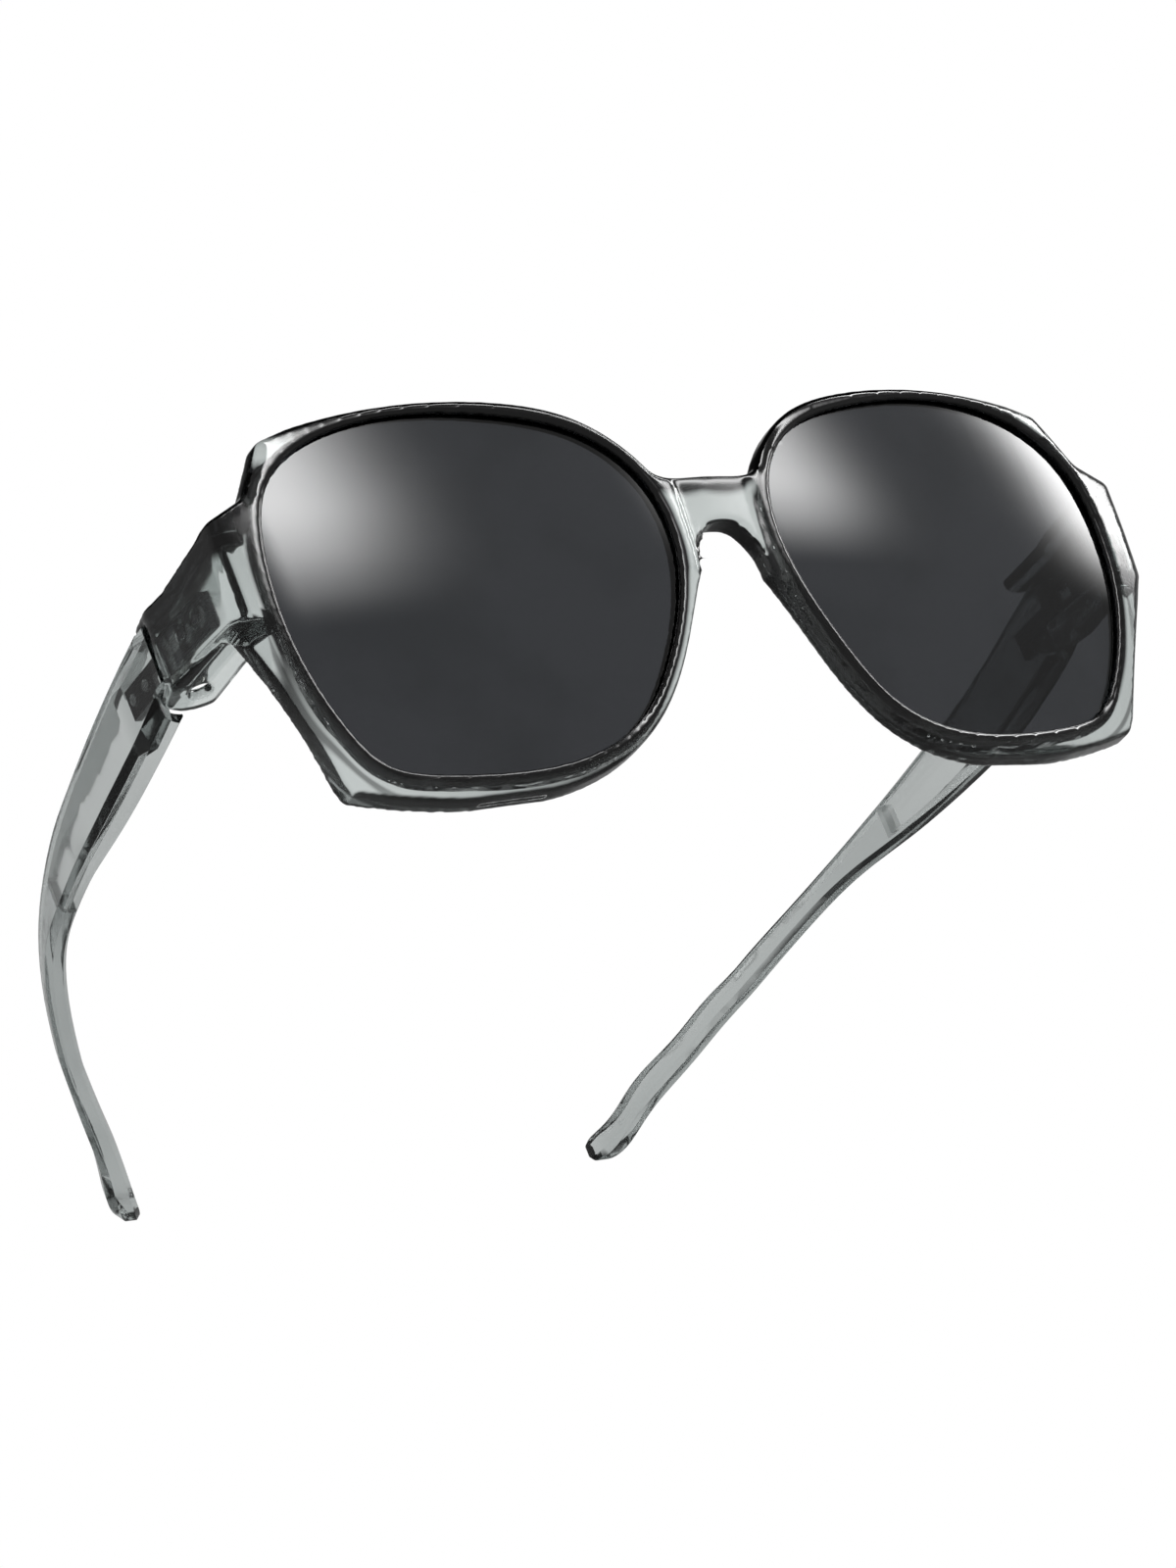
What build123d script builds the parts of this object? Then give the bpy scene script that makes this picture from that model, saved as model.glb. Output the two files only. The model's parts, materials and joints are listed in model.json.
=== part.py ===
from build123d import *
from math import atan2, cos, degrees, radians, sin
import os

# Fitover sunglasses: a moulded front with two tinted lenses in its grooves, and two
# channel-section temples that fold on metal hinges inside the hollow endpieces.
# Millimetres. +Z is up, the front faces -Y, and the wearer's left side is +X.
# The origin is under the middle of the glasses, on the surface that they stand on.

# Driving dimensions of the whole front
front_width = 150.0        # across the front corners of the two endpieces
rim_height = 54.8          # tallest stretch of the front, measured along its tilt
rim_drop = 4.1             # how far the middle of the rim lies below the bridge datum
rest_cut = 0.25            # taken off the lowest edge of the rims, so that they stand flat
front_tilt = 7.5           # degrees that the top of the front leans forward
overall_depth = 127.5      # from the front vertex to the end of the temple tips
front_setback = 63.2       # from the front vertex to the origin
face_radius = 299.0        # bulge of each half of the front from side to side
face_centre_x = 14.6       # middle of that bulge, from the middle of the front
brow_radius = 136.0        # bulge of the front from top to bottom
rim_depth = 3.8
rim_edge_bevel_share = 0.43    # width of the outer bevel, as a share of the rim over the lens
rim_bevel_depth = 0.6
rim_corner_round = 1.4
rim_notch_round = 2.6
opening_bevel_share = 0.29     # the same for the bevel round the lens

# Lens and its seat
lens_width_share = 0.40    # of the front's width
lens_height_share = 0.905  # of the rim's height
lens_place_share = 0.26    # distance of its middle from the middle of the front
lens_rise = 0.6            # middle of the lens above the middle of the rim
lens_thickness = 1.4
lens_recess = 1.2          # front face of the frame to the lens
groove_depth = 1.4
seat_gap = 0.05            # moulding gap all round a lens or an anchor in its seat

# Bridge
bridge_recess = 0.7
bridge_share = 0.042       # half its width, as a share of the front's width

# Endpiece, a box that is open towards the head
endpiece_length = 18.5     # from its front corner to the hinge axis
endpiece_flare = 2.6       # how far the side wall leans out towards the back
endpiece_rear_top = 7.3    # above the bridge datum
endpiece_rear_base = 4.4   # below the bridge datum
endpiece_wall = 1.8
endpiece_flange = 1.5
endpiece_root = 5.4        # inner edge of its flanges inside its front corner
corner_setback = 4.9       # front corner of the endpiece behind the front vertex
rim_side_wall = 2.6        # rim that stays between the lens groove and the endpiece pocket

# Hinge
hinge_inset = 5.2          # hinge axis inside the outer face of the endpiece
hinge_rise = 1.2           # middle of the barrels above the bridge datum
swing_gap = 0.3
butt_gap = 0.3             # between the ends of the endpiece and temple walls
barrel_diameter = 3.2
barrel_height = 1.75
middle_barrel_height = 1.9
barrel_gap = 0.06
leaf_thickness = 1.1
leaf_length = 7.0
leaf_reach = 3.4           # from the hinge axis to the near end of a leaf
temple_leaf_drop = 2.4     # temple leaf below its barrel, along the falling channel
leaf_clearance = 0.3       # between a barrel and the wall that the leaves lie on
anchor_diameter = 1.5
anchor_depth = 0.8
screw_diameter = 1.4
screw_gap = 0.04
screw_head_diameter = 2.3
screw_head_height = 0.7
screw_slot_width = 0.4
screw_slot_depth = 0.35
access_gap = 0.25

# Temple
temple_wall = 1.7
temple_flange = 1.4
temple_edge_share = 0.2        # bevel of its edges, as a share of its thickness
temple_low_edge_share = 0.3    # the same for its lower outer edge
channel_share = 0.45           # how much of its length the channel takes

# One overrun serves all cuts
overrun = 5.0

# Outline of a lens, as shares of half its width and half its height
lens_outline_shares = [
    (0.997, 0.05), (0.967, 0.43), (0.90, 0.63), (0.785, 0.78), (0.48, 0.947), (0.05, 1.0),
    (-0.36, 0.945), (-0.705, 0.815), (-0.93, 0.555), (-1.0, 0.19), (-0.955, -0.10),
    (-0.81, -0.47), (-0.60, -0.785), (-0.30, -0.955), (0.08, -1.0), (0.44, -0.968),
    (0.69, -0.875), (0.83, -0.665), (0.945, -0.34),
]

# Outline of the front, as shares of half the width and half the rim height.
# It runs from the bridge over the brow, down the outer side and back along the nose.
bridge_top_shares = [(0.0, 0.525), (0.087, 0.52), (0.122, 0.57)]
brow_shares = [(0.122, 0.57), (0.155, 0.69), (0.24, 0.87), (0.37, 0.976), (0.53, 1.014),
               (0.70, 0.99), (0.80, 0.945)]
brow_corner_share = (0.864, 0.892)
notch_share = (0.924, 0.61)
endpiece_top_share = (1.0, 0.515)
endpiece_base_share = (1.0, -0.03)
lower_notch_share = (0.975, -0.165)
outer_side_shares = [(0.975, -0.165), (0.945, -0.33), (0.905, -0.58), (0.878, -0.78)]
rim_base_shares = [(0.862, -0.85), (0.80, -0.895), (0.69, -0.95), (0.56, -0.975), (0.44, -0.95),
                   (0.34, -0.87), (0.25, -0.715), (0.18, -0.49), (0.12, -0.20), (0.078, 0.01)]
nose_arch_shares = [(0.078, 0.01), (0.062, 0.165), (0.0, 0.272)]

# Temple sections: the place along its length, then how far its outer face lies inside the
# side of the glasses, as a share of the length, how far its middle lies above the bridge
# datum, as a share of the datum's height, and its thickness and its height, as shares of
# the height of the endpiece's rear. The first one is at the hinge.
temple_shares = [
    (0.004, 0.0, 0.043, 0.462, 0.970),
    (0.110, 0.0, -0.045, 0.436, 0.988),
    (0.225, 0.004, -0.128, 0.409, 0.910),
    (0.397, 0.030, -0.201, 0.281, 0.690),
    (0.570, 0.080, -0.298, 0.277, 0.365),
    (0.744, 0.164, -0.511, 0.294, 0.360),
    (0.897, 0.265, -0.773, 0.343, 0.376),
    (0.982, 0.317, -0.930, 0.371, 0.359),
    (0.995, 0.333, -0.934, 0.272, 0.284),
    (1.0, 0.344, -0.932, 0.153, 0.163),
]
channel_section_count = 8
temple_section_count = 18

half_front = front_width / 2
half_rim = rim_height / 2
tilt = radians(front_tilt)
lens_width = lens_width_share * front_width
lens_height = lens_height_share * rim_height
lens_centre_x = lens_place_share * front_width
lens_centre_drop = rim_drop - lens_rise
bridge_half_width = bridge_share * front_width
brow_width = half_rim * max(share[1] for share in brow_shares) - lens_rise - lens_height / 2
rim_edge_bevel = rim_edge_bevel_share * brow_width
opening_bevel = opening_bevel_share * brow_width
rim_base = rim_drop - half_rim * min(share[1] for share in rim_base_shares)
datum_height = rim_base * cos(tilt) - rest_cut
endpiece_front_top = endpiece_top_share[1] * half_rim - rim_drop
endpiece_front_base = rim_drop - endpiece_base_share[1] * half_rim
endpiece_rear_height = endpiece_rear_top + endpiece_rear_base
datum = Vector(0, -front_setback, datum_height)
forward = Vector(0, -cos(tilt), -sin(tilt))
upward = Vector(0, -sin(tilt), cos(tilt))
front_plane = Plane(origin=datum, x_dir=(1, 0, 0), z_dir=forward)
side_plane = Plane(origin=(0, 0, 0), x_dir=(0, 1, 0), z_dir=(1, 0, 0))

side_x = half_front + endpiece_flare
corner_y = corner_setback - front_setback
hinge_x = side_x - hinge_inset
hinge_y = corner_y + endpiece_length
hinge_z = datum_height + hinge_rise
lug_radius = hinge_inset
barrel_radius = barrel_diameter / 2
seat_x = hinge_x + barrel_radius + leaf_clearance
barrel_stack = middle_barrel_height + 2 * (barrel_gap + barrel_height)
ceiling_z = datum_height + endpiece_rear_top - endpiece_flange
floor_z = datum_height - endpiece_rear_base + endpiece_flange
anchor_places = [-leaf_length / 4, leaf_length / 4]
temple_leaf_top = hinge_z + middle_barrel_height / 2
temple_leaf_base = hinge_z - middle_barrel_height / 2 - temple_leaf_drop

os.makedirs("parts", exist_ok=True)


def export_piece(piece, name):
    piece.label = name
    export_step(piece, "parts/" + name + ".step")


def export_pair(piece, name):
    export_piece(piece, name + "_left")
    export_piece(mirror(piece, about=Plane.YZ), name + "_right")


def front_point(share):
    return (share[0] * half_front, share[1] * half_rim - rim_drop)


def near(share):
    target = Vector(*front_point(share), 0)
    return lambda vertex: (Vector(vertex) - target).length


def curved_slab(near_depth, far_depth):
    """A layer of the bulging front for the side at +X, between two depths behind its face."""
    reach = half_rim + rim_drop + overrun
    near_radius = brow_radius - near_depth
    far_radius = brow_radius - far_depth
    near_edge = (near_radius ** 2 - reach ** 2) ** 0.5 - brow_radius
    far_edge = (far_radius ** 2 - reach ** 2) ** 0.5 - brow_radius
    bulge_centre = datum + Vector(face_centre_x, 0, 0) - forward * face_radius
    inner_turn = atan2(face_centre_x + overrun, face_radius)
    outer_turn = atan2(side_x + overrun - face_centre_x, face_radius)
    inner_ray = Vector(-sin(inner_turn), 0, 0) + forward * cos(inner_turn)
    inner_plane = Plane(origin=bulge_centre + inner_ray * face_radius, x_dir=inner_ray,
                        z_dir=inner_ray.cross(upward))
    with BuildPart() as slab:
        with BuildSketch(inner_plane):
            with BuildLine():
                ThreePointArc((near_edge, reach), (-near_depth, 0), (near_edge, -reach))
                Line((near_edge, -reach), (far_edge, -reach))
                ThreePointArc((far_edge, -reach), (-far_depth, 0), (far_edge, reach))
                Line((far_edge, reach), (near_edge, reach))
            make_face()
        revolve(axis=Axis(bulge_centre, upward), revolution_arc=degrees(inner_turn + outer_turn))
    return slab.part


def lens_prism(margin):
    """A bar with the outline of a lens, grown by a margin, right through the front."""
    with BuildPart() as prism:
        with BuildSketch(front_plane.offset(-front_width / 2)):
            with BuildLine():
                Spline(*[(lens_centre_x + x * (lens_width / 2 + margin),
                          y * (lens_height / 2 + margin) - lens_centre_drop)
                         for x, y in lens_outline_shares], periodic=True)
            make_face()
        extrude(amount=front_width)
    return prism.part


def lens_layer(margin, near_depth, far_depth):
    with BuildPart() as layer:
        add(lens_prism(margin))
        add(curved_slab(near_depth, far_depth), mode=Mode.INTERSECT)
    return layer.part


# Endpiece: its outside and the pocket for the hinge, for the side at +X
root_x = half_front - endpiece_root
with BuildPart() as endpiece:
    with BuildSketch(Plane.XY):
        with BuildLine():
            Line((half_front, corner_y), (side_x, hinge_y))
            CenterArc((hinge_x, hinge_y), lug_radius, 0, 180)
            Polyline((hinge_x - lug_radius, hinge_y), (root_x, corner_y + rim_depth),
                     (root_x, corner_y - overrun), (half_front, corner_y - overrun),
                     (half_front, corner_y))
        make_face()
    extrude(amount=datum_height + rim_height)
    with BuildSketch(side_plane):
        with BuildLine():
            Polyline((corner_y - overrun, datum_height + endpiece_front_top),
                     (corner_y, datum_height + endpiece_front_top),
                     (hinge_y - lug_radius, datum_height + endpiece_rear_top),
                     (hinge_y + side_x, datum_height + endpiece_rear_top),
                     (hinge_y + side_x, datum_height - endpiece_rear_base),
                     (hinge_y - lug_radius, datum_height - endpiece_rear_base),
                     (corner_y, datum_height - endpiece_front_base),
                     (corner_y - overrun, datum_height - endpiece_front_base), close=True)
        make_face()
    extrude(amount=front_width, mode=Mode.INTERSECT)
    add(curved_slab(rim_bevel_depth, front_setback), mode=Mode.INTERSECT)

pocket_x = lens_centre_x + lens_width / 2 + groove_depth + rim_side_wall
with BuildPart() as pocket:
    with BuildSketch(side_plane):
        with BuildLine():
            Polyline((corner_y, datum_height + endpiece_front_top - endpiece_flange),
                     (hinge_y - lug_radius, ceiling_z), (hinge_y + side_x, ceiling_z),
                     (hinge_y + side_x, floor_z), (hinge_y - lug_radius, floor_z),
                     (corner_y, datum_height - endpiece_front_base + endpiece_flange), close=True)
        make_face()
    extrude(amount=seat_x)
    add(curved_slab(endpiece_wall, front_setback), mode=Mode.INTERSECT)
    with BuildSketch(Plane.XY):
        with BuildLine():
            Polyline((pocket_x, corner_y - overrun), (pocket_x, corner_y + rim_depth),
                     (root_x - overrun, corner_y + rim_depth), (root_x - overrun, hinge_y + side_x),
                     (side_x, hinge_y + side_x), (side_x, corner_y - overrun), close=True)
        make_face()
    extrude(amount=datum_height + rim_height, mode=Mode.INTERSECT)
    with BuildSketch(Plane.XY.offset(floor_z)):
        with Locations((hinge_x, hinge_y - butt_gap / 2)):
            Rectangle(4 * lug_radius, 2 * lug_radius, align=(Align.CENTER, Align.MIN))
    extrude(amount=ceiling_z - floor_z)

# Front: rims, bridge and endpieces in one moulding
with BuildPart() as front:
    with BuildSketch(front_plane) as outline:
        with BuildLine():
            Spline(*[front_point(s) for s in bridge_top_shares], tangents=[(1, 0), (0.6, 1)])
            Spline(*[front_point(s) for s in brow_shares])
            Polyline(*[front_point(s) for s in (brow_shares[-1], brow_corner_share, notch_share,
                                                endpiece_top_share, endpiece_base_share,
                                                lower_notch_share)])
            Spline(*[front_point(s) for s in outer_side_shares])
            Line(front_point(outer_side_shares[-1]), front_point(rim_base_shares[0]))
            Spline(*[front_point(s) for s in rim_base_shares])
            Spline(*[front_point(s) for s in nose_arch_shares], tangents=[(0, 1), (-1, 0)])
            Line(front_point(nose_arch_shares[-1]), front_point(bridge_top_shares[0]))
        make_face()
        # Flat that the front rests on, level because the walls run level towards the back
        with Locations((half_front, -datum_height / cos(tilt))):
            Rectangle(front_width, rim_height, align=(Align.CENTER, Align.MAX), mode=Mode.SUBTRACT)
        fillet(outline.vertices().sort_by(near(brow_corner_share))[0], rim_corner_round)
        fillet(outline.vertices().sort_by(near(notch_share))[0], rim_notch_round)
    extrude(amount=half_rim, dir=(0, 1, 0))
    add(curved_slab(0, rim_depth), mode=Mode.INTERSECT)
    face = front.faces().sort_by(Axis(datum, forward))[-1]
    chamfer([edge for edge in face.edges() if edge.center().X > seat_gap],
            rim_edge_bevel, rim_bevel_depth, reference=face)
    add(endpiece.part)
    add(pocket.part, mode=Mode.SUBTRACT)
    # Bridge panel, set back between the rims
    with BuildSketch(front_plane.offset(overrun)):
        Rectangle(2 * bridge_half_width, rim_height)
    extrude(amount=-(overrun + bridge_recess), mode=Mode.SUBTRACT)
    # Lens opening, its bevel and its groove
    add(lens_prism(0), mode=Mode.SUBTRACT)
    opening_edges = front.edges().filter_by(lambda edge: edge.is_closed).sort_by(Axis(datum, forward))
    chamfer(opening_edges[-1], opening_bevel)
    add(lens_layer(groove_depth, lens_recess, lens_recess + lens_thickness), mode=Mode.SUBTRACT)
    # Seats of the hinge anchors and the way in for the screwdriver
    with BuildSketch(Plane.YZ.offset(seat_x)):
        with Locations(*[(hinge_y - leaf_reach - leaf_length / 2 + along, hinge_z)
                         for along in anchor_places]):
            Circle(anchor_diameter / 2 + seat_gap)
    extrude(amount=anchor_depth + seat_gap, mode=Mode.SUBTRACT)
    with BuildSketch(Plane.XY.offset(floor_z)):
        with Locations((hinge_x, hinge_y)):
            Circle(screw_head_diameter / 2 + access_gap)
    extrude(amount=-endpiece_rear_base, mode=Mode.SUBTRACT)
    mirror(about=Plane.YZ)
export_piece(front.part, "frame_front")


# Lenses
with BuildPart() as lens:
    add(lens_layer(groove_depth - seat_gap, lens_recess + seat_gap,
                   lens_recess + lens_thickness - seat_gap))
export_pair(lens.part, "lens")


# Temples: a bar lofted through eight-sided sections, then hollowed into a channel
butt_y = hinge_y + butt_gap / 2
temple_length = overall_depth - front_setback - hinge_y
channel_y = hinge_y + channel_share * temple_length
tip_y = hinge_y + temple_shares[-3][0] * temple_length
tip_places = [hinge_y + row[0] * temple_length for row in temple_shares[-2:]]


def temple_share(column, station):
    """Smooth value of one column of the temple's shares, between its rows."""
    rows = temple_shares
    last = len(rows) - 1
    i = max(j for j in range(last) if rows[j][0] <= station or j == 0)

    def slope(j):
        low, high = rows[max(j - 1, 0)], rows[min(j + 1, last)]
        return (high[column] - low[column]) / (high[0] - low[0])

    span = rows[i + 1][0] - rows[i][0]
    t = (station - rows[i][0]) / span
    return ((2 * t ** 3 - 3 * t ** 2 + 1) * rows[i][column] + (t ** 3 - 2 * t ** 2 + t) * span * slope(i)
            + (3 * t ** 2 - 2 * t ** 3) * rows[i + 1][column] + (t ** 3 - t ** 2) * span * slope(i + 1))


def temple_section(y):
    """Outer and inner face, top and base of the temple at a place along it."""
    station = (y - hinge_y) / temple_length
    inset, rise, thickness, height = [temple_share(column, station) for column in (1, 2, 3, 4)]
    outer = side_x - inset * temple_length
    middle = datum_height * (1 + rise)
    half_height = height * endpiece_rear_height / 2
    return outer, outer - thickness * endpiece_rear_height, middle + half_height, middle - half_height


def places(start, end, count):
    return [start + (end - start) * i / count for i in range(count + 1)]


# The channel is open towards the head, and its wall is thicker at the front for the hinge
leaf_end = leaf_reach + leaf_length
floor_y = hinge_y + leaf_end + leaf_clearance
floor_points = [(seat_x, butt_y - overrun), (seat_x, floor_y)]
floor_points += [(temple_section(y)[0] - temple_wall, y)
                 for y in places(floor_y + temple_wall, channel_y, channel_section_count)]
floor_points += [(hinge_x - 2 * lug_radius, channel_y), (hinge_x - 2 * lug_radius, butt_y - overrun)]
with BuildPart() as channel:
    with BuildSketch(Plane.XY):
        with BuildLine():
            Polyline(*floor_points, close=True)
        make_face()
    extrude(amount=datum_height + rim_height)

with BuildPart() as hollow:
    for y in places(butt_y - overrun, channel_y, channel_section_count):
        outer, inner, top, base = temple_section(max(y, butt_y))
        with BuildSketch(Plane.XZ.offset(-y)):
            with Locations((hinge_x, (top + base) / 2)):
                Rectangle(front_width, top - base - 2 * temple_flange)
    loft()
    add(channel.part, mode=Mode.INTERSECT)

with BuildPart() as temple:
    for y in places(butt_y, tip_y, temple_section_count) + tip_places:
        outer, inner, top, base = temple_section(y)
        edge = (outer - inner) * temple_edge_share
        low_edge = (outer - inner) * temple_low_edge_share
        with BuildSketch(Plane.XZ.offset(-y)):
            with BuildLine():
                Polyline((outer, top - edge), (outer, base + low_edge), (outer - low_edge, base),
                         (inner + edge, base), (inner, base + edge), (inner, top - edge),
                         (inner + edge, top), (outer - edge, top), close=True)
            make_face()
    loft()
    add(hollow.part, mode=Mode.SUBTRACT)
    for low_z, high_z in ((0, floor_z + swing_gap), (ceiling_z - swing_gap, 2 * datum_height)):
        with BuildSketch(Plane.XY.offset(low_z)):
            with Locations((hinge_x, hinge_y)):
                Circle(lug_radius + swing_gap)
        extrude(amount=high_z - low_z, mode=Mode.SUBTRACT)
    with BuildSketch(Plane.YZ.offset(seat_x)):
        with Locations(*[(hinge_y + leaf_reach + leaf_length / 2 + along,
                          (temple_leaf_base + temple_leaf_top) / 2) for along in anchor_places]):
            Circle(anchor_diameter / 2 + seat_gap)
    extrude(amount=anchor_depth + seat_gap, mode=Mode.SUBTRACT)
export_pair(temple.part, "temple")


# Hinges: each leaf has its barrels on one axis, an arm from each barrel, and anchors
def hinge_leaf(side, barrel_centres, height, plate_base, plate_top):
    """One leaf, towards the front for a side of -1 and towards the temple for 1."""
    plate_y = hinge_y + side * (leaf_reach + leaf_length / 2)
    with BuildPart() as leaf:
        for centre_z in barrel_centres:
            with BuildSketch(Plane.XY.offset(centre_z - height / 2)):
                with Locations((hinge_x, hinge_y)):
                    Circle(barrel_radius)
                with Locations((seat_x - leaf_thickness / 2, hinge_y + side * leaf_end / 2)):
                    Rectangle(leaf_thickness, leaf_end)
            extrude(amount=height)
        with BuildSketch(Plane.XY.offset(plate_base)):
            with Locations((seat_x - leaf_thickness / 2, plate_y)):
                Rectangle(leaf_thickness, leaf_length)
        extrude(amount=plate_top - plate_base)
        with BuildSketch(Plane.YZ.offset(seat_x)):
            with Locations(*[(plate_y + along, (plate_base + plate_top) / 2) for along in anchor_places]):
                Circle(anchor_diameter / 2)
        extrude(amount=anchor_depth)
        with BuildSketch(Plane.XY):
            with Locations((hinge_x, hinge_y)):
                Circle(screw_diameter / 2 + screw_gap)
        extrude(amount=2 * datum_height, mode=Mode.SUBTRACT)
    return leaf.part


outer_barrel_rise = (middle_barrel_height + barrel_height) / 2 + barrel_gap
export_pair(hinge_leaf(-1, [hinge_z - outer_barrel_rise, hinge_z + outer_barrel_rise], barrel_height,
                       hinge_z - barrel_stack / 2, hinge_z + barrel_stack / 2), "hinge_front_leaf")
export_pair(hinge_leaf(1, [hinge_z], middle_barrel_height, temple_leaf_base, temple_leaf_top),
            "hinge_temple_leaf")

with BuildPart() as screw:
    with BuildSketch(Plane.XY.offset(hinge_z - barrel_stack / 2)):
        with Locations((hinge_x, hinge_y)):
            Circle(screw_diameter / 2)
    extrude(amount=barrel_stack)
    with BuildSketch(Plane.XY.offset(hinge_z - barrel_stack / 2)):
        with Locations((hinge_x, hinge_y)):
            Circle(screw_head_diameter / 2)
    extrude(amount=-screw_head_height)
    with BuildSketch(Plane.XY.offset(hinge_z - barrel_stack / 2 - screw_head_height)):
        with Locations((hinge_x, hinge_y)):
            Rectangle(screw_head_diameter * 2, screw_slot_width)
    extrude(amount=screw_slot_depth, mode=Mode.SUBTRACT)
export_pair(screw.part, "hinge_screw")
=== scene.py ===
import json
import math

import bpy
from mathutils import Matrix, Vector

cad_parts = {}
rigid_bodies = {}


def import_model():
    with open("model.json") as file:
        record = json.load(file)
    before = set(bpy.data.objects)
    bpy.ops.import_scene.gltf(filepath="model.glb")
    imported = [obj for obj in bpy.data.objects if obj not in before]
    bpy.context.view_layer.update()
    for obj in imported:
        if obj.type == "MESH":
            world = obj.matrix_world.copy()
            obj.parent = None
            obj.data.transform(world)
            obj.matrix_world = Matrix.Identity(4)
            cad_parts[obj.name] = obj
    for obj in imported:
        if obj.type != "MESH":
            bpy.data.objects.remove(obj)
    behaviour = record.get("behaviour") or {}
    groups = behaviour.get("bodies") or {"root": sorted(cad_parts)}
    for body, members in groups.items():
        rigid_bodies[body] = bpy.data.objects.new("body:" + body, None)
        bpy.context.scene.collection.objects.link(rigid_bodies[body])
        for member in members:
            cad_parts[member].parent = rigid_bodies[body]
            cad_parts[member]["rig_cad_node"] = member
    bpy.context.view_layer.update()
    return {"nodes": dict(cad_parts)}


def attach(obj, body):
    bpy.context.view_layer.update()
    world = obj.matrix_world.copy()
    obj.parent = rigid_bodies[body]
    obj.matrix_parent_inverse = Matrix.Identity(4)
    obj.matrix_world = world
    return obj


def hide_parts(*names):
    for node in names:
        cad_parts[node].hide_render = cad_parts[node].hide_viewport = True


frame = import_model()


# operators act on all that is selected, so only one piece ever is
def pickOnly(piece):
    bpy.ops.object.select_all(action="DESELECT")
    piece.select_set(True)
    bpy.context.view_layer.objects.active = piece


bpy.ops.object.select_all(action="DESELECT")


# one socket of a shader, with arithmetic on it that adds Math nodes
class Wire:
    def __init__(self, tree, socket):
        self.tree = tree
        self.socket = socket

    def node(self, kind, settings=None, sockets=None, out=0):
        made = self.tree.nodes.new(kind)
        for name, value in (settings or {}).items():
            if name == "points":
                line = made.mapping.curves[0]
                line.points[0].location, line.points[1].location = value[0], value[-1]
                for across, up in value[1:-1]:
                    line.points.new(across, up)
                made.mapping.update()
            else:
                setattr(made, name, value)
        for name, value in (sockets or {}).items():
            if isinstance(value, Wire):
                self.tree.links.new(value.socket, made.inputs[name])
            else:
                made.inputs[name].default_value = value
        return Wire(self.tree, made.outputs[out])

    def other(self, name):  # another output of the same node
        return Wire(self.tree, self.socket.node.outputs[name])

    def maths(self, operation, first, second):
        return self.node("ShaderNodeMath", {"operation": operation}, {0: first, 1: second})

    def __add__(self, other):
        return self.maths("ADD", self, other)

    def __radd__(self, other):
        return self.maths("ADD", other, self)

    def __sub__(self, other):
        return self.maths("SUBTRACT", self, other)

    def __rsub__(self, other):
        return self.maths("SUBTRACT", other, self)

    def __mul__(self, other):
        return self.maths("MULTIPLY", self, other)

    def __rmul__(self, other):
        return self.maths("MULTIPLY", other, self)

    def __pow__(self, other):
        return self.maths("POWER", self, other)

    def between(self, low, high):  # 0 at low, 1 at high, smooth in between
        return self.node("ShaderNodeMapRange", {"interpolation_type": "SMOOTHSTEP"},
                         {"Value": self, "From Min": low, "From Max": high})


def newMaterial(name):
    material = bpy.data.materials.new(name)
    material.use_nodes = True
    material.node_tree.nodes.clear()
    return material, Wire(material.node_tree, None)


mixColour = {"first": 6, "second": 7, "result": 2}  # the colour sockets of a Mix node


def blendColours(shader, share, first, second):
    return shader.node("ShaderNodeMix", {"data_type": "RGBA"},
                       {0: share, mixColour["first"]: first, mixColour["second"]: second}, out=mixColour["result"])


def addNoise(shader, place, scale, detail):
    return shader.node("ShaderNodeTexNoise", {}, {"Vector": place, "Scale": scale, "Detail": detail})


def addCurve(shader, points, share):
    return shader.node("ShaderNodeFloatCurve", {"points": points}, {"Value": share})


def splitPlace(shader, place):  # distance from the middle plane, place from front to back, height
    split = shader.node("ShaderNodeSeparateXYZ", {}, {0: place})
    return shader.maths("ABSOLUTE", split, 0.0), split.other("Y"), split.other("Z")


def inRange(wire, low, high, soft):  # 1 from low to high, with soft ends
    return wire.between(low - soft, low) * wire.between(high + soft, high)


# the front's own tilted plane, and where its face ends towards the back
frontPlane = {"tilt": 7.5, "back": -0.0632, "height": 0.0303, "faceEnds": (-0.0495, -0.0530)}

# painted shade over the brow, a dark reflection painted into the plastic: its upper line and its depth, as shares
# along half the front
browLine = {
    "halfWidth": 0.075, "halfRim": 0.0274, "drop": 0.0041, "topLimit": 0.030, "depthLimit": 0.010, "fade": 0.0007,
    "top": [(0.0, 0.525), (0.087, 0.52), (0.122, 0.57), (0.155, 0.69), (0.24, 0.87), (0.37, 0.976),
            (0.53, 1.014), (0.70, 0.99), (0.80, 0.945), (0.864, 0.892), (0.924, 0.61), (1.0, 0.515)],
    "depth": [(0.0, 0.20), (0.09, 0.20), (0.13, 0.12), (0.20, 0.20), (0.30, 0.26), (0.70, 0.27),
              (0.82, 0.22), (0.875, 0.10), (0.915, 0.10), (0.95, 0.30), (1.0, 0.40)],
}


# near-black painted shade below the brow's upper line, standing in for dark reflections
def browPaintedShade(shader, across, up):
    share = across * (1 / browLine["halfWidth"])
    top = [(x, (z * browLine["halfRim"] - browLine["drop"]) / browLine["topLimit"]) for x, z in browLine["top"]]
    below = addCurve(shader, top, share) * browLine["topLimit"] - up
    depth = addCurve(shader, browLine["depth"], share) * browLine["depthLimit"]
    return (below - depth).between(browLine["fade"], -browLine["fade"])
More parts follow.
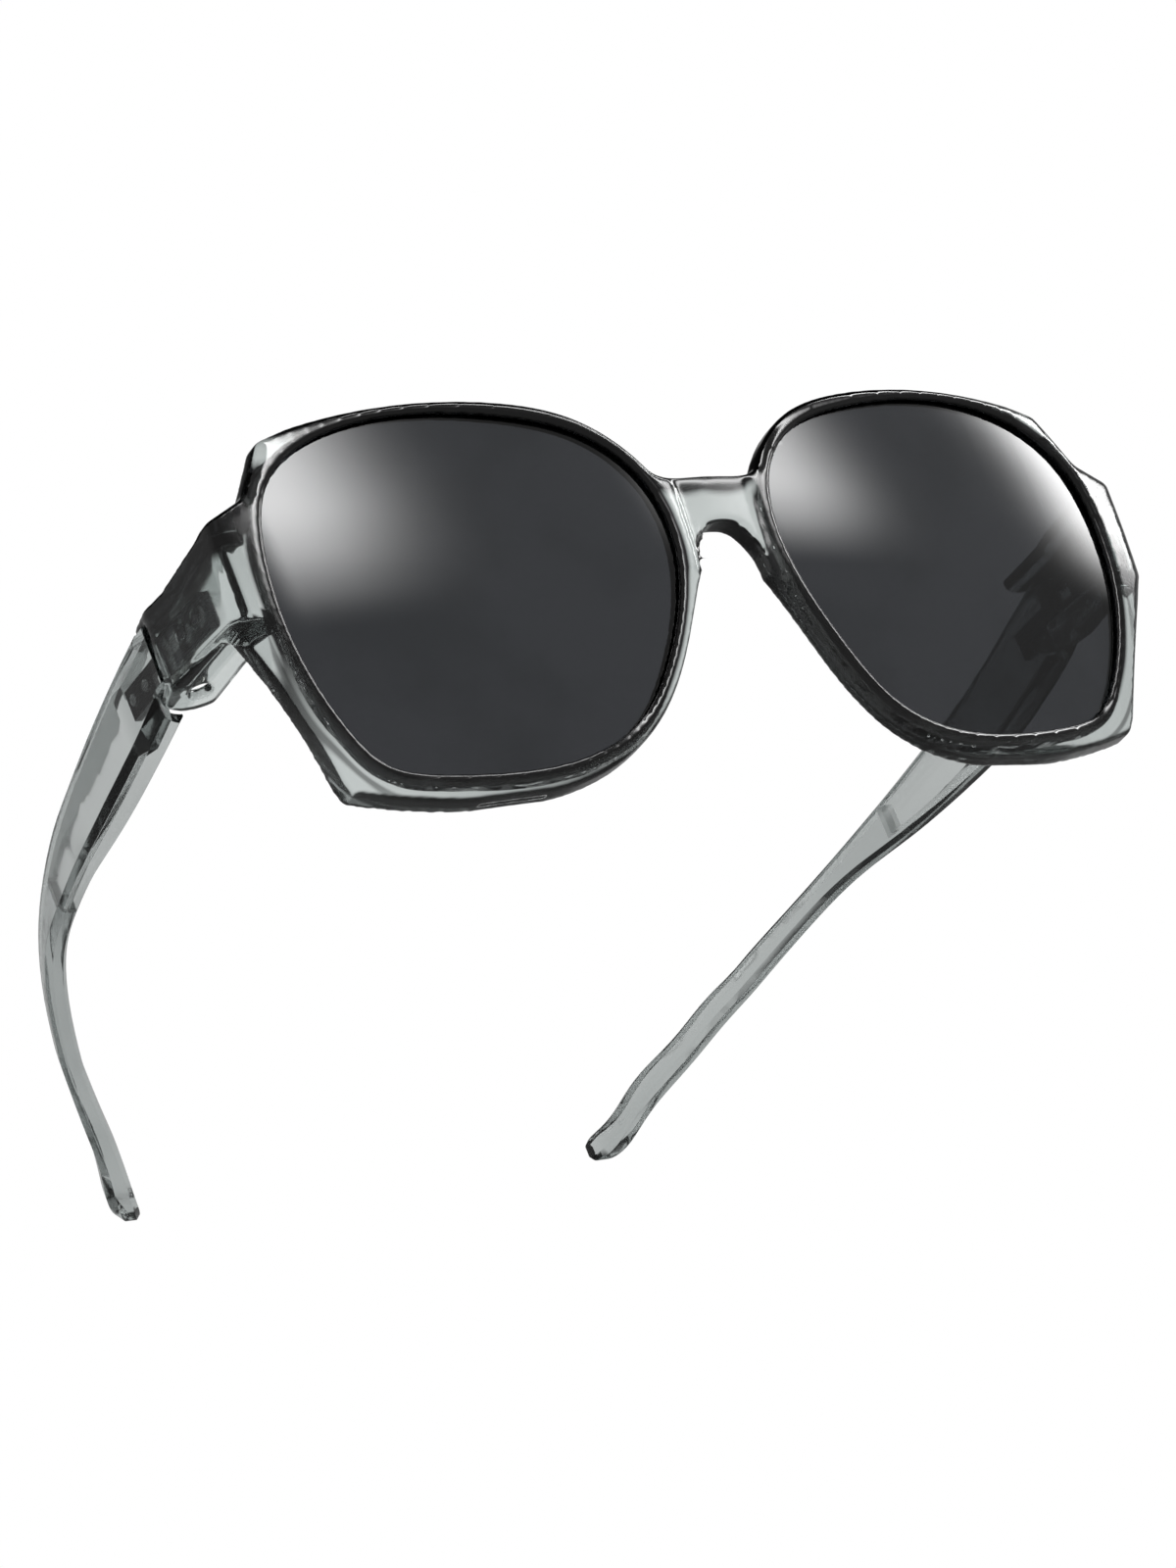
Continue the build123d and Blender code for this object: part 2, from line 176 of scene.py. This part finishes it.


# painted shade: a dark band round each lens seat, and a fainter ring outside it on the lower half
lensLine = {
    "x": 0.039, "up": -0.0035, "halfWidth": 0.030, "halfHeight": 0.0248, "radiusLimit": 0.040,
    "band": (0.0017, 0.0010), "ringStarts": (0.0031, 0.0035), "ringEnds": (0.0043, 0.0038),
    "ringLevel": 0.85, "lowHalf": (0.002, -0.008),
    "outline": [(0.997, 0.05), (0.967, 0.43), (0.90, 0.63), (0.785, 0.78), (0.48, 0.947), (0.05, 1.0),
                (-0.36, 0.945), (-0.705, 0.815), (-0.93, 0.555), (-1.0, 0.19), (-0.955, -0.10),
                (-0.81, -0.47), (-0.60, -0.785), (-0.30, -0.955), (0.08, -1.0), (0.44, -0.968),
                (0.69, -0.875), (0.83, -0.665), (0.945, -0.34)],
}


def polarOutline():  # the seat's radius against the angle, both from 0 to 1
    points = []
    for shareX, shareUp in lensLine["outline"]:
        x, up = shareX * lensLine["halfWidth"], shareUp * lensLine["halfHeight"]
        points.append((math.atan2(up, x) / (2 * math.pi) + 0.5, math.hypot(x, up) / lensLine["radiusLimit"]))
    points.sort()
    seam = (points[0][1] + points[-1][1]) / 2
    return [(0.0, seam)] + points + [(1.0, seam)]


# painted shade in a band round the lens seat and a ring on its lower half
def lensPaintedShade(shader, across, up):
    lensAcross, lensUp = across - lensLine["x"], up - lensLine["up"]
    angle = shader.maths("ARCTAN2", lensUp, lensAcross) * (0.5 / math.pi) + 0.5
    seat = addCurve(shader, polarOutline(), angle) * lensLine["radiusLimit"]
    fromSeat = (lensAcross * lensAcross + lensUp * lensUp) ** 0.5 - seat
    ring = fromSeat.between(*lensLine["ringStarts"]) * fromSeat.between(*lensLine["ringEnds"])
    ring = ring * up.between(*lensLine["lowHalf"]) * lensLine["ringLevel"]
    return shader.maths("MAXIMUM", fromSeat.between(*lensLine["band"]), ring)


# painted shade: dark ovals at the outer corner of each rim and at the notch under it
paintedShadeOvals = {
    "corner": {"x": 0.0722, "up": 0.0095, "halfWidth": 0.0029, "halfHeight": 0.0036},
    "notch": {"x": 0.0729, "up": -0.0055, "halfWidth": 0.0026, "halfHeight": 0.0019},
}
ovalEdge = (1.25, 0.8)


# painted shade in an oval, dark inside it
def ovalPaintedShade(shader, across, up, oval):
    offX, offUp = (across - oval["x"]) * (1 / oval["halfWidth"]), (up - oval["up"]) * (1 / oval["halfHeight"])
    return (offX * offX + offUp * offUp).between(*ovalEdge)


# the endpiece's side wall, with painted shade dark above a line that runs back along it
wallLine = {
    "front": -0.0585, "back": -0.0345, "x": 0.0722, "fade": 0.0004, "starts": (-0.0590, -0.0580),
    "floor": 0.022, "tall": 0.020, "edgeFade": (-0.0002, 0.0004),
    "edge": [(0.0, 0.70), (0.30, 0.69), (0.40, 0.65), (0.70, 0.61), (0.94, 0.61), (1.0, 0.62)],
}


# painted shade on the side wall: the dark patch, and where the wall is, for its darker painted tint
def wallPaintedShade(shader, across, back, height):
    along = (back - wallLine["front"]) * (1 / (wallLine["back"] - wallLine["front"]))
    edge = addCurve(shader, wallLine["edge"], along) * wallLine["tall"]
    outside = across.between(wallLine["x"] - wallLine["fade"], wallLine["x"])
    patch = (height - wallLine["floor"] - edge).between(*wallLine["edgeFade"]) * outside
    onWall = outside * back.between(*wallLine["starts"])
    return patch * onWall, onWall


# all of the front's painted shade in one mask, and where the side wall is
def frontPaintedShade(shader, place):
    across, back, height = splitPlace(shader, place)
    tilt = math.radians(frontPlane["tilt"])
    up = (height - frontPlane["height"]) * math.cos(tilt) - (back - frontPlane["back"]) * math.sin(tilt)
    dark = shader.maths("MAXIMUM", browPaintedShade(shader, across, up), lensPaintedShade(shader, across, up))
    for oval in paintedShadeOvals.values():
        dark = shader.maths("MAXIMUM", dark, ovalPaintedShade(shader, across, up, oval))
    onWallDark, onWall = wallPaintedShade(shader, across, back, height)
    onFace = dark * back.between(*frontPlane["faceEnds"]) * (1 - onWall)
    return shader.maths("MAXIMUM", onFace, onWallDark), onWall


# the wall that closes each temple's channel, left matt
channelEnd = {"back": (0.00635, 0.00775), "across": (0.0698, 0.0718), "height": (0.0211, 0.0259),
              "soft": 0.0002, "matt": 0.75}


def mattEnd(shader, place):
    share = 1.0
    for wire, name in zip(splitPlace(shader, place), ("across", "back", "height")):
        share = share * inRange(wire, *channelEnd[name], channelEnd["soft"])
    return share * channelEnd["matt"]


# smoke-grey see-through plastic, with the colours of the front's painted shade: scale and detail of each noise,
# and where its change begins and ends
smokeLook = {
    "wallShadeColour": (0.56, 0.60, 0.59, 1), "paintedShadeColour": (0.0004, 0.0004, 0.00045, 1),
    "absorb": (0.38, 0.42, 0.415, 1), "density": 150.0, "roughness": 0.09, "ior": 1.52,
    "flow": (26.0, 2.0), "flowEnds": (0.35, 0.7), "bump": 0.12, "bumpDepth": 0.0008,
    "wipe": (140.0, 4.0), "wipeEnds": (0.52, 0.75), "wipeRoughness": 0.03,
    "haze": (900.0, 3.0), "hazeEnds": (0.6, 0.8), "hazeRoughness": 0.02,
}
frontColours = {"clear": (0.80, 0.835, 0.825, 1), "thick": (0.70, 0.73, 0.72, 1)}
templeColours = {"clear": (0.56, 0.58, 0.575, 1), "thick": (0.50, 0.52, 0.515, 1)}


def makeSmokePlastic(name, colours, isFront):
    material, shader = newMaterial(name)
    place = shader.node("ShaderNodeTexCoord", out="Object")
    flow = addNoise(shader, place, *smokeLook["flow"])
    haze = addNoise(shader, place, *smokeLook["haze"]).between(*smokeLook["hazeEnds"])
    wipe = addNoise(shader, place, *smokeLook["wipe"]).between(*smokeLook["wipeEnds"])
    tint = blendColours(shader, flow.between(*smokeLook["flowEnds"]), colours["clear"], colours["thick"])
    rough = smokeLook["roughness"] + wipe * smokeLook["wipeRoughness"] + haze * smokeLook["hazeRoughness"]
    if isFront:
        # the front gets painted shade: a darker tint on the side wall, then near-black where the mask says
        dark, onWall = frontPaintedShade(shader, place)
        tint = blendColours(shader, onWall, tint, smokeLook["wallShadeColour"])
        tint = blendColours(shader, dark, tint, smokeLook["paintedShadeColour"])
    else:
        rough = rough + mattEnd(shader, place)
    bumps = shader.node("ShaderNodeBump", {}, {
        "Height": flow, "Strength": smokeLook["bump"], "Distance": smokeLook["bumpDepth"],
    })
    body = shader.node("ShaderNodeBsdfPrincipled", {}, {
        "Base Color": tint, "Roughness": rough, "Normal": bumps,
        "IOR": smokeLook["ior"], "Transmission Weight": 1.0,
    })
    inside = shader.node("ShaderNodeVolumeAbsorption", {}, {
        "Color": smokeLook["absorb"], "Density": smokeLook["density"],
    })
    joinOutput(shader, body, inside)
    return material


def joinOutput(shader, surface, volume=None, kind="ShaderNodeOutputMaterial"):
    made = shader.tree.nodes.new(kind)
    shader.tree.links.new(surface.socket, made.inputs["Surface"])
    if volume:
        shader.tree.links.new(volume.socket, made.inputs["Volume"])


# dark polarised lenses, with a little smear and dust
lensLook = {
    "colour": (0.030, 0.032, 0.036, 1), "edgeColour": (0.024, 0.026, 0.029, 1), "roughness": 0.02, "ior": 1.5,
    "smear": (60.0, 5.0), "tintEnds": (0.4, 0.7), "smearEnds": (0.55, 0.75), "smearRoughness": 0.02,
    "dust": (1600.0, 2.0), "dustEnds": (0.68, 0.8), "dustRoughness": 0.05,
}


def makeLensTint():
    material, shader = newMaterial("lensTint")
    place = shader.node("ShaderNodeTexCoord", out="Object")
    smear = addNoise(shader, place, *lensLook["smear"])
    dust = addNoise(shader, place, *lensLook["dust"]).between(*lensLook["dustEnds"])
    tint = blendColours(shader, smear.between(*lensLook["tintEnds"]), lensLook["colour"], lensLook["edgeColour"])
    smearRough = smear.between(*lensLook["smearEnds"]) * lensLook["smearRoughness"]
    body = shader.node("ShaderNodeBsdfPrincipled", {}, {
        "Base Color": tint, "Roughness": lensLook["roughness"] + smearRough + dust * lensLook["dustRoughness"],
        "IOR": lensLook["ior"], "Transmission Weight": 1.0,
    })
    joinOutput(shader, body)
    return material


# the dark metal of the hinge leaves, brushed along their length, and the bright steel of the screws
metalLooks = {
    "hingeNickel": {"colour": (0.10, 0.10, 0.105, 1), "dark": (0.05, 0.05, 0.053, 1), "roughness": 0.22,
                    "stretch": (900, 60, 900)},
    "screwSteel": {"colour": (0.66, 0.65, 0.63, 1), "dark": (0.40, 0.39, 0.37, 1), "roughness": 0.18,
                   "stretch": (500, 500, 90)},
}
metalWear = {
    "grain": (4.0, 4.0), "grainEnds": (0.3, 0.8), "grainRoughness": 0.14, "bump": 0.25, "bumpDepth": 0.00005,
    "stain": (300.0, 3.0), "stainEnds": (0.5, 0.75),
}


def makeMetal(name):
    look = metalLooks[name]
    material, shader = newMaterial(name)
    place = shader.node("ShaderNodeTexCoord", out="Object")
    along = shader.node("ShaderNodeMapping", {}, {"Vector": place, "Scale": look["stretch"]})
    grain = addNoise(shader, along, *metalWear["grain"])
    stain = addNoise(shader, place, *metalWear["stain"]).between(*metalWear["stainEnds"])
    bumps = shader.node("ShaderNodeBump", {}, {
        "Height": grain, "Strength": metalWear["bump"], "Distance": metalWear["bumpDepth"],
    })
    body = shader.node("ShaderNodeBsdfPrincipled", {}, {
        "Base Color": blendColours(shader, stain, look["colour"], look["dark"]), "Metallic": 1.0, "Normal": bumps,
        "Roughness": look["roughness"] + grain.between(*metalWear["grainEnds"]) * metalWear["grainRoughness"],
    })
    joinOutput(shader, body)
    return material


# the front's smoke plastic carries the painted shade
frontSmokeWithShade = makeSmokePlastic("frontSmokeWithShade", frontColours, True)
templeSmoke = makeSmokePlastic("templeSmoke", templeColours, False)
lensTint = makeLensTint()
hingeNickel = makeMetal("hingeNickel")
screwSteel = makeMetal("screwSteel")
print("materials made")


weldGap = 2e-6  # joins the corners that faces of a solid share


# a copy of a node in one mesh with its flat faces joined, and a bevel on it that is still to apply
def bevelledCopy(nodeName, look):
    pickOnly(frame["nodes"][nodeName])
    bpy.ops.object.duplicate()
    piece = bpy.context.view_layer.objects.active
    piece.name = look["name"]
    del piece["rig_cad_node"]
    bpy.ops.object.mode_set(mode="EDIT")
    bpy.ops.mesh.select_all(action="SELECT")
    bpy.ops.mesh.remove_doubles(threshold=weldGap)
    bpy.ops.object.mode_set(mode="OBJECT")  # renumbers what is left, which the next step's result follows
    bpy.ops.object.mode_set(mode="EDIT")
    bpy.ops.mesh.dissolve_limited(angle_limit=math.radians(look["flatten"]))
    if "weld" in look:
        bpy.ops.mesh.select_all(action="SELECT")
        bpy.ops.mesh.remove_doubles(threshold=look["weld"])
    bpy.ops.object.mode_set(mode="OBJECT")
    edges = piece.modifiers.new("edges", "BEVEL")
    edges.width = look["radius"]
    edges.segments = look["segments"]
    edges.limit_method = "ANGLE"
    edges.angle_limit = math.radians(look["sharpFrom"])
    return piece, edges


def finishPiece(piece, nodeName, look):
    piece.data.materials.clear()
    piece.data.materials.append(look["finish"])
    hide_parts(nodeName)
    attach(piece, look["body"])


# a copy with its edges rounded
def roundedCopy(nodeName, look):
    piece, edges = bevelledCopy(nodeName, look)
    edges.harden_normals = True
    bpy.ops.object.shade_smooth_by_angle(angle=math.radians(look["smoothTo"]))
    bpy.ops.object.modifier_apply(modifier="edges")
    finishPiece(piece, nodeName, look)


# a copy with its edges rounded and its skin drawn again in one even grain, as a mould leaves it
def castCopy(nodeName, look):
    piece, edges = bevelledCopy(nodeName, look)
    edges.use_clamp_overlap = False
    bpy.ops.object.modifier_apply(modifier="edges")
    skin = piece.modifiers.new("skin", "REMESH")
    skin.mode = "VOXEL"
    skin.voxel_size = look["grain"]
    bpy.ops.object.modifier_apply(modifier="skin")
    soft = piece.modifiers.new("soft", "SMOOTH")
    soft.factor = look["softness"]
    soft.iterations = look["softening"]
    bpy.ops.object.modifier_apply(modifier="soft")
    bpy.ops.object.shade_smooth()
    finishPiece(piece, nodeName, look)


castCopy("frame_front", {
    "name": "front_rims", "flatten": 0.05, "weld": 0.00012, "radius": 0.00035, "segments": 3, "sharpFrom": 30,
    "grain": 0.00034, "softness": 0.5, "softening": 9,
    "finish": frontSmokeWithShade, "body": "front", "slot": "smoke_plastic"})
for side in ("left", "right"):
    roundedCopy("temple_" + side, {
        "name": "temple_arm_" + side,
        "flatten": 0.05, "radius": 0.00035, "segments": 4, "sharpFrom": 18, "smoothTo": 18,
        "finish": templeSmoke, "body": side + "_temple", "slot": "smoke_plastic"})
    roundedCopy("lens_" + side, {
        "name": "lens_tinted_" + side,
        "flatten": 0.01, "radius": 0.00015, "segments": 2, "sharpFrom": 30, "smoothTo": 40,
        "finish": lensTint, "body": "front", "slot": "tinted_lens"})
    for node, body in (("hinge_front_leaf_", "front"), ("hinge_temple_leaf_", side + "_temple")):
        roundedCopy(node + side, {
            "name": node.replace("_leaf", "_plate") + side,
            "flatten": 0.5, "radius": 0.00010, "segments": 2, "sharpFrom": 30, "smoothTo": 35,
            "finish": hingeNickel, "body": body, "slot": "hinge_metal"})
    roundedCopy("hinge_screw_" + side, {
        "name": "pivot_screw_" + side,
        "flatten": 0.5, "radius": 0.00007, "segments": 2, "sharpFrom": 30, "smoothTo": 35,
        "finish": screwSteel, "body": "front", "slot": "screw_steel"})
print("pieces rounded")


# the studio's paper floor, clear from below because the camera is lower than it
floorLook = {"size": 6.0, "colour": (0.80, 0.80, 0.80, 1), "roughness": 0.9}
bpy.ops.mesh.primitive_plane_add(size=floorLook["size"], location=(0, 0, 0))
floor = bpy.context.view_layer.objects.active
floor.name = "studio_floor"
floor.visible_shadow = False
floor.visible_glossy = False
floorMaterial, shader = newMaterial("floorPaper")
paper = shader.node("ShaderNodeBsdfPrincipled", {}, {
    "Base Color": floorLook["colour"], "Roughness": floorLook["roughness"],
})
clear = shader.node("ShaderNodeBsdfTransparent")
underside = shader.node("ShaderNodeNewGeometry", out="Backfacing")
joinOutput(shader, shader.node("ShaderNodeMixShader", {}, {0: underside, 1: paper, 2: clear}))
floor.data.materials.append(floorMaterial)

# a dark wall in front of the glasses with three soft lights on it, seen only in reflections
wall = {
    "place": (0.1, -0.170, 0.05), "width": 1.0, "height": 0.7, "dark": 0.30,
    "lights": [  # middle x, reach towards -x and +x, the heights between which it fades in, strength
        {"x": -0.034, "left": 0.005, "right": 0.026, "low": 0.036, "high": 0.090, "strength": 15.0},
        {"x": 0.097, "left": 0.010, "right": 0.030, "low": 0.052, "high": 0.092, "strength": 11.0},
        {"x": 0.300, "left": 0.040, "right": 0.080, "low": 0.055, "high": 0.110, "strength": 14.0},
    ],
}
bpy.ops.mesh.primitive_plane_add(size=1.0, location=wall["place"], rotation=(math.radians(90), 0, 0))
softWall = bpy.context.view_layer.objects.active
softWall.name = "studio_wall"
softWall.scale = (wall["width"], wall["height"], 1)
bpy.ops.object.transform_apply(location=True, rotation=True, scale=True)
for seenBy in ("camera", "diffuse", "transmission", "volume_scatter", "shadow"):
    setattr(softWall, "visible_" + seenBy, False)
wallMaterial, shader = newMaterial("wallLight")
across = shader.node("ShaderNodeSeparateXYZ", {}, {0: shader.node("ShaderNodeTexCoord", out="Object")})
height = across.other("Z")
level = wall["dark"]
for light in wall["lights"]:
    off = across - light["x"]
    rightSide = shader.maths("MAXIMUM", off, 0.0) * (1 / light["right"])
    leftSide = shader.maths("MAXIMUM", 0.0 - off, 0.0) * (1 / light["left"])
    glow = shader.maths("EXPONENT", 0.0 - (rightSide * rightSide + leftSide * leftSide), 0.0)
    level = level + glow * height.between(light["low"], light["high"]) * light["strength"]
joinOutput(shader, shader.node("ShaderNodeEmission", {}, {"Color": level, "Strength": 1.0}))
softWall.data.materials.append(wallMaterial)

# a white world, with black cards above and below that only reflections and the clear plastic see
skyLook = {"light": 0.55, "mirror": 0.40, "above": (0.60, 0.72), "aboveLevel": 0.03,
           "below": (-0.10, -0.25), "belowLevel": 0.45}
world = bpy.data.worlds.new("studioWorld")
bpy.context.scene.world = world
world.use_nodes = True
world.node_tree.nodes.clear()
shader = Wire(world.node_tree, None)
cameraRay = shader.node("ShaderNodeLightPath", out="Is Camera Ray")
glossyRay, clearRay = cameraRay.other("Is Glossy Ray"), cameraRay.other("Is Transmission Ray")
seen = shader.maths("MAXIMUM", shader.maths("MAXIMUM", cameraRay, glossyRay), clearRay)
direction = shader.node("ShaderNodeSeparateXYZ", {}, {0: shader.node("ShaderNodeTexCoord", out="Generated")})
darkAbove = direction.other("Z").between(*skyLook["above"]) * (1 - skyLook["aboveLevel"])
darkBelow = direction.other("Z").between(*skyLook["below"]) * (1 - skyLook["belowLevel"])
dimMirror = 1 - glossyRay * (1 - clearRay) * (1 - skyLook["mirror"])
backdrop = shader.maths("MAXIMUM", (1 - darkAbove - darkBelow) * dimMirror, cameraRay)
light = shader.node("ShaderNodeBackground", {}, {"Color": (1, 1, 1, 1), "Strength": skyLook["light"]})
white = shader.node("ShaderNodeBackground", {}, {"Color": backdrop, "Strength": 1.0})
joinOutput(shader, shader.node("ShaderNodeMixShader", {}, {0: seen, 1: light, 2: white}),
           kind="ShaderNodeOutputWorld")

# soft lamps, aimed at the middle of the glasses
lampAim = Vector((0, 0, 0.03))
for look in (
    {"name": "key_lamp", "place": (-0.7, -0.35, 1.0), "size": 0.5, "watts": 9.0},
    {"name": "fill_lamp", "place": (1.0, 0.1, 0.5), "size": 0.4, "watts": 4.0},
    {"name": "back_lamp", "place": (0.1, 1.0, 0.7), "size": 0.6, "watts": 5.0},
):
    bpy.ops.object.light_add(type="AREA", location=look["place"])
    lamp = bpy.context.view_layer.objects.active
    lamp.name = look["name"]
    lamp.data.size = look["size"]
    lamp.data.energy = look["watts"]
    lamp.visible_transmission = False
    lamp.visible_glossy = False
    lamp.rotation_euler = (lampAim - Vector(look["place"])).to_track_quat("-Z", "Y").to_euler()

# the camera, at the photograph's own viewing angle
view = {
    "place": (-0.44692, -0.55359, -0.27116), "lens": 126.99, "sensor": 36.0, "nearest": 0.01, "farthest": 50.0,
    "right": (0.80467193, -0.47924812, -0.35046301),
    "up": (0.06372079, -0.51716376, 0.85351116),
    "back": (-0.59029039, -0.70912826, -0.38560909),
}
bpy.ops.object.camera_add()
camera = bpy.context.view_layer.objects.active
turn = Matrix((view["right"], view["up"], view["back"])).transposed().to_4x4()
camera.matrix_world = Matrix.Translation(view["place"]) @ turn
camera.data.sensor_width = view["sensor"]
camera.data.lens = view["lens"]
camera.data.clip_start = view["nearest"]
camera.data.clip_end = view["farthest"]
bpy.context.scene.camera = camera
bpy.context.scene.view_settings.view_transform = "Standard"
print("studio and camera set")
